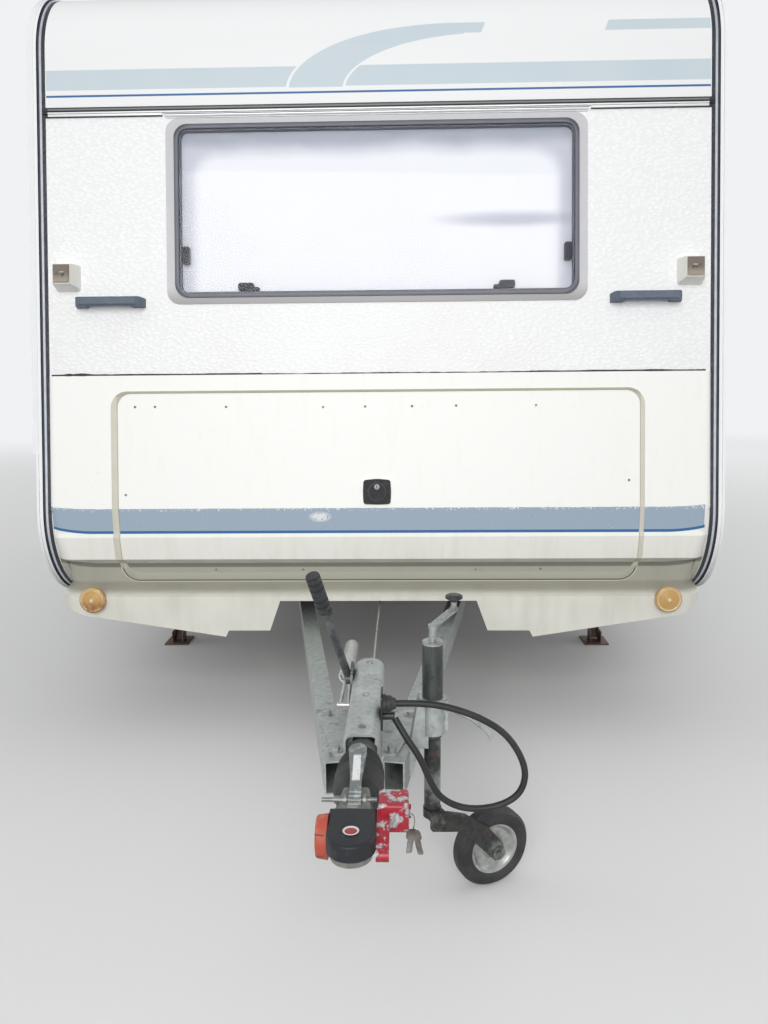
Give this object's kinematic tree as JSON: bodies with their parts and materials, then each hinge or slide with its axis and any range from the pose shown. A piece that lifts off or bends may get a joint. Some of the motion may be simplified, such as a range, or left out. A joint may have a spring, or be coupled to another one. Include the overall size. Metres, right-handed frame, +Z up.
{
  "type": "travel caravan",
  "caption": "Single-axle travel caravan with leaning front, gas locker lid, hinged door, roof hatch, drawbar with overrun coupling, jockey wheel and corner steadies.",
  "frame": {"origin": "on the ground, under the middle of the overall length and width", "axes": "+Z up, -Y from the body towards the coupling, +X to the left when travelling"},
  "size_m": [2.363, 6.039, 2.666],
  "materials": {
    "wall_panel": "hammered white enamel",
    "roof_panel": "smooth white enamel",
    "moulding": "aged cream gel coat",
    "floor_board": "tarred plywood",
    "inner_panel": "laminated board",
    "trim": "anodised with dark inserts",
    "white_trim": "white enamel",
    "seal": "matt",
    "pane": "tinted acrylic",
    "surround": "satin",
    "blind": "pleated",
    "slate_plastic": "satin",
    "black_plastic": "satin",
    "lamp": "clear over cream",
    "red_lamp": "clear red",
    "galvanised": "spangled zinc",
    "dark_steel": "dull black",
    "rim": "silver enamel",
    "tyre": "matt",
    "rubber": "matt",
    "red_paint": "chipped red enamel",
    "orange_plastic": "satin",
    "door_panel": "hammered white enamel",
    "grille": "satin",
    "hatch": "milky acrylic"
  },
  "bodies": {
    "root": {"front_wall": "wall_panel", "rear_wall": "wall_panel", "roof": "roof_panel", "side_wall_left": "wall_panel", "side_wall_right": "wall_panel", "floor": "floor_board", "locker_shell": "moulding", "inner_panels": "inner_panel", "corner_trims": "trim", "awning_rail": "white_trim", "seam_rails": "trim", "window_seals": "seal", "window_panes": "pane", "window_surrounds": "surround", "blinds": "blind", "grab_handles": "slate_plastic", "front_lamps": "lamp", "rear_lamps": "red_lamp", "roof_fittings": "grille", "side_fittings": "grille", "drawbar_rails": "galvanised", "chassis_frame": "galvanised", "axle_beam": "galvanised", "overrun_housing": "galvanised", "bellows": "rubber", "coupling_head": "galvanised", "coupling_handle": "galvanised", "soft_dock": "black_plastic", "friction_caps": "orange_plastic", "hitch_lock": "red_paint", "handbrake_lever": "galvanised", "brake_linkage": "galvanised", "jockey_clamp": "galvanised", "jockey_outer_tube": "galvanised", "jockey_crank": "galvanised", "plug_holder": "black_plastic", "tow_plug": "black_plastic", "tow_cable": "rubber", "steady_brackets": "galvanised"},
    "road_wheel_left": {"road_wheel_left": "rim", "road_tyre_left": "tyre"},
    "road_wheel_right": {"road_wheel_right": "rim", "road_tyre_right": "tyre"},
    "jockey_stem": {"jockey_stem": "galvanised"},
    "jockey_fork": {"jockey_fork": "galvanised"},
    "jockey_wheel": {"jockey_rim": "galvanised", "jockey_tyre": "rubber"},
    "locker_lid": {"locker_lid": "moulding"},
    "entrance_door": {"entrance_door": "door_panel", "door_window": "pane", "door_handle": "black_plastic"},
    "roof_hatch": {"roof_hatch": "hatch"},
    "steady_leg_front_left": {"steady_leg_front_left": "galvanised"},
    "steady_strut_front_left": {"steady_strut_front_left": "galvanised"},
    "steady_leg_front_right": {"steady_leg_front_right": "galvanised"},
    "steady_strut_front_right": {"steady_strut_front_right": "galvanised"},
    "steady_leg_rear_left": {"steady_leg_rear_left": "galvanised"},
    "steady_strut_rear_left": {"steady_strut_rear_left": "galvanised"},
    "steady_leg_rear_right": {"steady_leg_rear_right": "galvanised"},
    "steady_strut_rear_right": {"steady_strut_rear_right": "galvanised"}
  },
  "joints": [
    {"name": "road_wheel_left_spin", "type": "hinge", "parent": "root", "child": "road_wheel_left", "pos_m": [-1.01, 0.9055, 0.295], "axis": [1, 0, 0], "continuous": true},
    {"name": "road_wheel_right_spin", "type": "hinge", "parent": "root", "child": "road_wheel_right", "pos_m": [1.01, 0.9055, 0.295], "axis": [1, 0, 0], "continuous": true},
    {"name": "jockey_lift", "type": "slide", "parent": "root", "child": "jockey_stem", "axis": [0, 0, -1], "range_m": [-0.115, 0.025]},
    {"name": "jockey_swivel", "type": "hinge", "parent": "jockey_stem", "child": "jockey_fork", "pos_m": [0.156, -2.4445, 0.244], "axis": [0, 0, 1], "continuous": true},
    {"name": "jockey_wheel_spin", "type": "hinge", "parent": "jockey_fork", "child": "jockey_wheel", "pos_m": [0.304, -2.3745, 0.1], "axis": [0.4276, -0.904, 0], "continuous": true},
    {"name": "locker_lid_hinge", "type": "hinge", "parent": "root", "child": "locker_lid", "pos_m": [0, -1.47919, 1.209], "axis": [-1, 0, 0], "range_deg": [0, 100]},
    {"name": "entrance_door_hinge", "type": "hinge", "parent": "root", "child": "entrance_door", "pos_m": [-1.158, 1.4355, 1.4], "axis": [0, 0, 1], "range_deg": [0, 110]},
    {"name": "roof_hatch_hinge", "type": "hinge", "parent": "root", "child": "roof_hatch", "pos_m": [0, 0.3795, 2.606], "axis": [1, 0, 0], "range_deg": [0, 60]},
    {"name": "steady_front_left_fold", "type": "hinge", "parent": "root", "child": "steady_leg_front_left", "pos_m": [-0.99, -0.2745, 0.455], "axis": [-1, 0, 0], "range_deg": [0, 49.98]},
    {"name": "steady_front_left_strut", "type": "hinge", "parent": "steady_leg_front_left", "child": "steady_strut_front_left", "pos_m": [-0.99, -0.40877, 0.25608], "axis": [-1, 0, 0], "range_deg": [-99.97, 0]},
    {"name": "steady_front_right_fold", "type": "hinge", "parent": "root", "child": "steady_leg_front_right", "pos_m": [0.99, -0.2745, 0.455], "axis": [-1, 0, 0], "range_deg": [0, 49.98]},
    {"name": "steady_front_right_strut", "type": "hinge", "parent": "steady_leg_front_right", "child": "steady_strut_front_right", "pos_m": [0.99, -0.40877, 0.25608], "axis": [-1, 0, 0], "range_deg": [-99.97, 0]},
    {"name": "steady_rear_left_fold", "type": "hinge", "parent": "root", "child": "steady_leg_rear_left", "pos_m": [-0.99, 1.7255, 0.455], "axis": [1, 0, 0], "range_deg": [0, 49.98]},
    {"name": "steady_rear_left_strut", "type": "hinge", "parent": "steady_leg_rear_left", "child": "steady_strut_rear_left", "pos_m": [-0.99, 1.85977, 0.25608], "axis": [1, 0, 0], "range_deg": [-99.97, 0]},
    {"name": "steady_rear_right_fold", "type": "hinge", "parent": "root", "child": "steady_leg_rear_right", "pos_m": [0.99, 1.7255, 0.455], "axis": [1, 0, 0], "range_deg": [0, 49.98]},
    {"name": "steady_rear_right_strut", "type": "hinge", "parent": "steady_leg_rear_right", "child": "steady_strut_rear_right", "pos_m": [0.99, 1.85977, 0.25608], "axis": [1, 0, 0], "range_deg": [-99.97, 0]}
  ],
  "couplings": [
    {"joint": "steady_front_left_strut", "follows": "steady_front_left_fold", "ratio": -2},
    {"joint": "steady_front_right_strut", "follows": "steady_front_right_fold", "ratio": -2},
    {"joint": "steady_rear_left_strut", "follows": "steady_rear_left_fold", "ratio": -2},
    {"joint": "steady_rear_right_strut", "follows": "steady_rear_right_fold", "ratio": -2}
  ]
}
